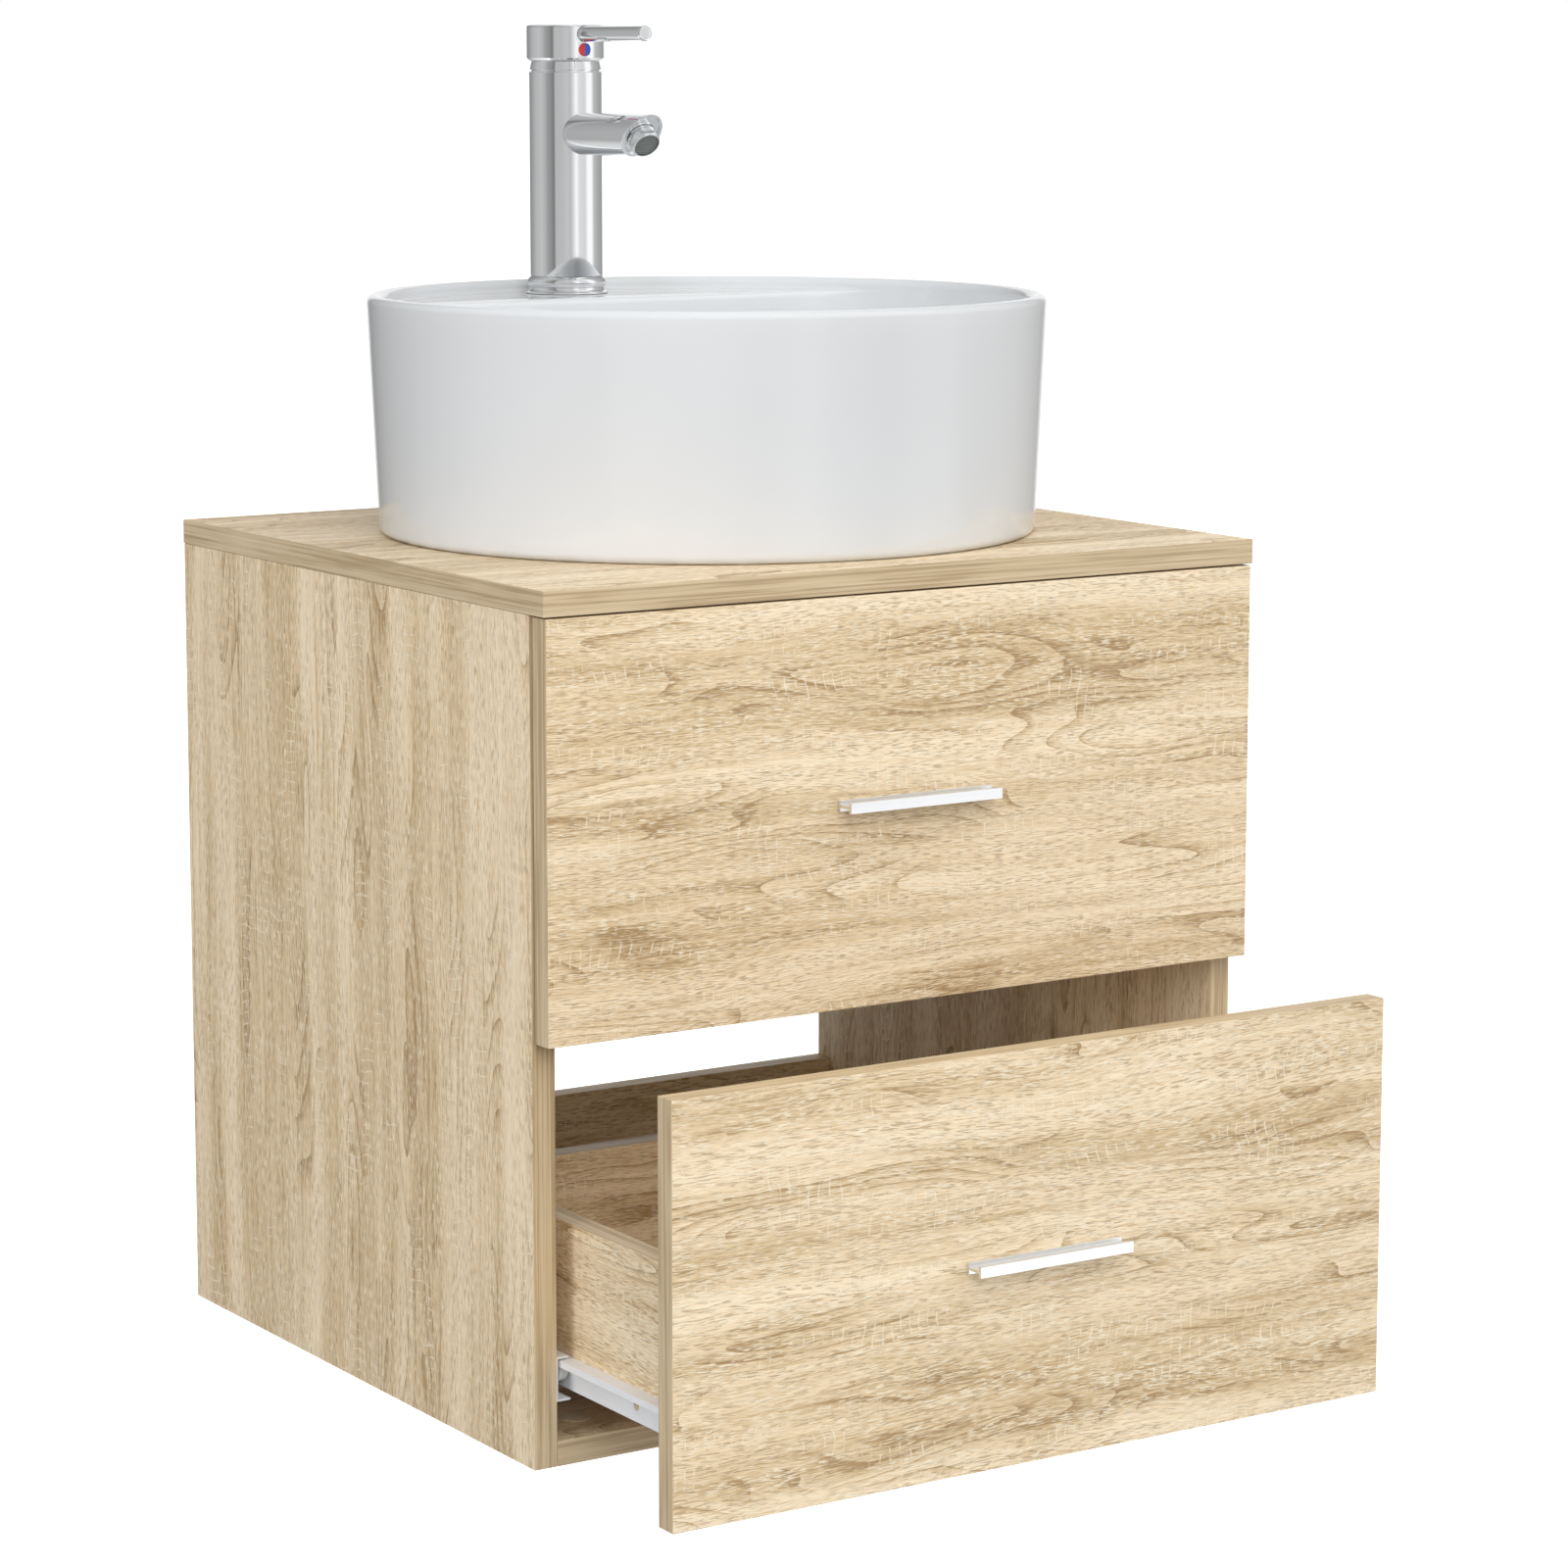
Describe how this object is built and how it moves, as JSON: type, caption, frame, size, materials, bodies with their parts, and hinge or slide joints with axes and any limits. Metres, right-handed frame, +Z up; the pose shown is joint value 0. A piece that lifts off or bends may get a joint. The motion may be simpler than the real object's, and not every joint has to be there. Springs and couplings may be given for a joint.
{
  "type": "vessel sink on vanity",
  "caption": "Wall-hung bathroom vanity with stacked drawers on roller runners, a round ceramic sit-on basin with push waste, and a single-lever mixer tap.",
  "frame": {"origin": "under the middle of the whole object's box, with the lower drawer open as at rest, on the plane of the cabinet's underside", "axes": "+Z up, +X to the viewer's right when facing the fronts, -Y to the front, +Y to the wall"},
  "size_m": [0.5, 0.6036, 0.8196],
  "materials": {
    "melamine_oak": "melamine-faced chipboard, embossed pale oak, grain across the width",
    "melamine_oak_upright": "melamine-faced chipboard, embossed pale oak, upright grain",
    "hardboard": "smooth printed hardboard",
    "epoxy_white_steel": "white epoxy-coated rolled steel",
    "nylon_white": "moulded nylon",
    "cover_plastic": "beige moulded cover cap",
    "nut_plastic": "white moulded nut",
    "satin_aluminium": "satin anodised extrusion",
    "zinc_steel": "zinc-plated steel",
    "white_ceramic": "white glazed vitreous china",
    "chrome_brass": "polished chrome-plated brass",
    "raw_brass": "machined brass",
    "black_rubber": "moulded rubber",
    "aerator_grey": "dark mesh insert",
    "hot_red": "red moulded mark",
    "cold_blue": "blue moulded mark"
  },
  "bodies": {
    "cabinet": {"worktop": "melamine_oak", "left_side_panel": "melamine_oak_upright", "right_side_panel": "melamine_oak_upright", "bottom_panel": "melamine_oak", "lower_back_rail": "melamine_oak", "upper_back_rail": "melamine_oak", "left_wall_hanger": "zinc_steel", "right_wall_hanger": "zinc_steel", "left_cam_cover": "cover_plastic", "right_cam_cover": "cover_plastic", "upper_left_track": "epoxy_white_steel", "upper_right_track": "epoxy_white_steel", "lower_left_track": "epoxy_white_steel", "lower_right_track": "epoxy_white_steel", "basin": "white_ceramic", "waste_body": "chrome_brass", "waste_gasket": "black_rubber", "waste_nut": "nut_plastic", "tap_foot": "chrome_brass", "tap_body": "chrome_brass", "tap_spout": "chrome_brass", "aerator_sleeve": "chrome_brass", "aerator_mesh": "aerator_grey", "tap_collar": "chrome_brass", "tap_cartridge": "nylon_white", "tap_stud": "raw_brass", "tap_washer": "zinc_steel", "tap_nut": "raw_brass"},
    "upper_drawer": {"upper_drawer_front": "melamine_oak", "upper_drawer_left_side": "melamine_oak", "upper_drawer_right_side": "melamine_oak", "upper_drawer_back": "melamine_oak", "upper_drawer_bottom": "hardboard", "upper_drawer_handle": "satin_aluminium", "upper_drawer_left_runner": "epoxy_white_steel", "upper_drawer_right_runner": "epoxy_white_steel"},
    "lower_drawer": {"lower_drawer_front": "melamine_oak", "lower_drawer_left_side": "melamine_oak", "lower_drawer_right_side": "melamine_oak", "lower_drawer_back": "melamine_oak", "lower_drawer_bottom": "hardboard", "lower_drawer_handle": "satin_aluminium", "lower_drawer_left_runner": "epoxy_white_steel", "lower_drawer_right_runner": "epoxy_white_steel"},
    "upper_left_track_roller": {"upper_left_track_roller": "nylon_white"},
    "upper_drawer_left_roller": {"upper_drawer_left_roller": "nylon_white"},
    "upper_right_track_roller": {"upper_right_track_roller": "nylon_white"},
    "upper_drawer_right_roller": {"upper_drawer_right_roller": "nylon_white"},
    "lower_left_track_roller": {"lower_left_track_roller": "nylon_white"},
    "lower_drawer_left_roller": {"lower_drawer_left_roller": "nylon_white"},
    "lower_right_track_roller": {"lower_right_track_roller": "nylon_white"},
    "lower_drawer_right_roller": {"lower_drawer_right_roller": "nylon_white"},
    "waste_plug": {"waste_plug": "chrome_brass"},
    "tap_swivel": {"tap_guide_disc": "raw_brass"},
    "tap_handle": {"tap_stem": "raw_brass", "handle_cap": "chrome_brass", "handle_lever": "chrome_brass", "hot_mark": "hot_red", "cold_mark": "cold_blue"}
  },
  "joints": [
    {"name": "upper_drawer_slide", "type": "slide", "parent": "cabinet", "child": "upper_drawer", "axis": [0, -1, 0], "range_m": [0, 0.225]},
    {"name": "lower_drawer_slide", "type": "slide", "parent": "cabinet", "child": "lower_drawer", "axis": [0, -1, 0], "range_m": [-0.132, 0.093]},
    {"name": "upper_left_track_roller_spin", "type": "hinge", "parent": "cabinet", "child": "upper_left_track_roller", "pos_m": [-0.227, -0.12825, 0.29925], "axis": [1, 0, 0], "range_deg": [-2, 1986]},
    {"name": "upper_drawer_left_roller_spin", "type": "hinge", "parent": "upper_drawer", "child": "upper_drawer_left_roller", "pos_m": [-0.227, 0.14875, 0.29125], "axis": [1, 0, 0], "range_deg": [-2, 1986]},
    {"name": "upper_right_track_roller_spin", "type": "hinge", "parent": "cabinet", "child": "upper_right_track_roller", "pos_m": [0.227, -0.12825, 0.29925], "axis": [1, 0, 0], "range_deg": [-2, 1986]},
    {"name": "upper_drawer_right_roller_spin", "type": "hinge", "parent": "upper_drawer", "child": "upper_drawer_right_roller", "pos_m": [0.227, 0.14875, 0.29125], "axis": [1, 0, 0], "range_deg": [-2, 1986]},
    {"name": "lower_left_track_roller_spin", "type": "hinge", "parent": "cabinet", "child": "lower_left_track_roller", "pos_m": [-0.227, -0.12825, 0.054], "axis": [1, 0, 0], "range_deg": [-1166, 822]},
    {"name": "lower_drawer_left_roller_spin", "type": "hinge", "parent": "lower_drawer", "child": "lower_drawer_left_roller", "pos_m": [-0.227, 0.01675, 0.046], "axis": [1, 0, 0], "range_deg": [-1166, 822]},
    {"name": "lower_right_track_roller_spin", "type": "hinge", "parent": "cabinet", "child": "lower_right_track_roller", "pos_m": [0.227, -0.12825, 0.054], "axis": [1, 0, 0], "range_deg": [-1166, 822]},
    {"name": "lower_drawer_right_roller_spin", "type": "hinge", "parent": "lower_drawer", "child": "lower_drawer_right_roller", "pos_m": [0.227, 0.01675, 0.046], "axis": [1, 0, 0], "range_deg": [-1166, 822]},
    {"name": "waste_plug_lift", "type": "slide", "parent": "cabinet", "child": "waste_plug", "axis": [0, 0, 1], "range_m": [0, 0.008]},
    {"name": "tap_turn", "type": "hinge", "parent": "cabinet", "child": "tap_swivel", "pos_m": [0, 0.24475, 0.7846], "axis": [0, 0, 1], "range_deg": [-50, 50]},
    {"name": "tap_lift", "type": "hinge", "parent": "tap_swivel", "child": "tap_handle", "pos_m": [0, 0.24475, 0.7846], "axis": [-1, 0, 0], "range_deg": [0, 25]}
  ],
  "couplings": [
    {"joint": "upper_left_track_roller_spin", "follows": "upper_drawer_slide", "rad_per_m": 153.85},
    {"joint": "upper_drawer_left_roller_spin", "follows": "upper_drawer_slide", "rad_per_m": 153.85},
    {"joint": "upper_right_track_roller_spin", "follows": "upper_drawer_slide", "rad_per_m": 153.85},
    {"joint": "upper_drawer_right_roller_spin", "follows": "upper_drawer_slide", "rad_per_m": 153.85},
    {"joint": "lower_left_track_roller_spin", "follows": "lower_drawer_slide", "rad_per_m": 153.85},
    {"joint": "lower_drawer_left_roller_spin", "follows": "lower_drawer_slide", "rad_per_m": 153.85},
    {"joint": "lower_right_track_roller_spin", "follows": "lower_drawer_slide", "rad_per_m": 153.85},
    {"joint": "lower_drawer_right_roller_spin", "follows": "lower_drawer_slide", "rad_per_m": 153.85}
  ]
}
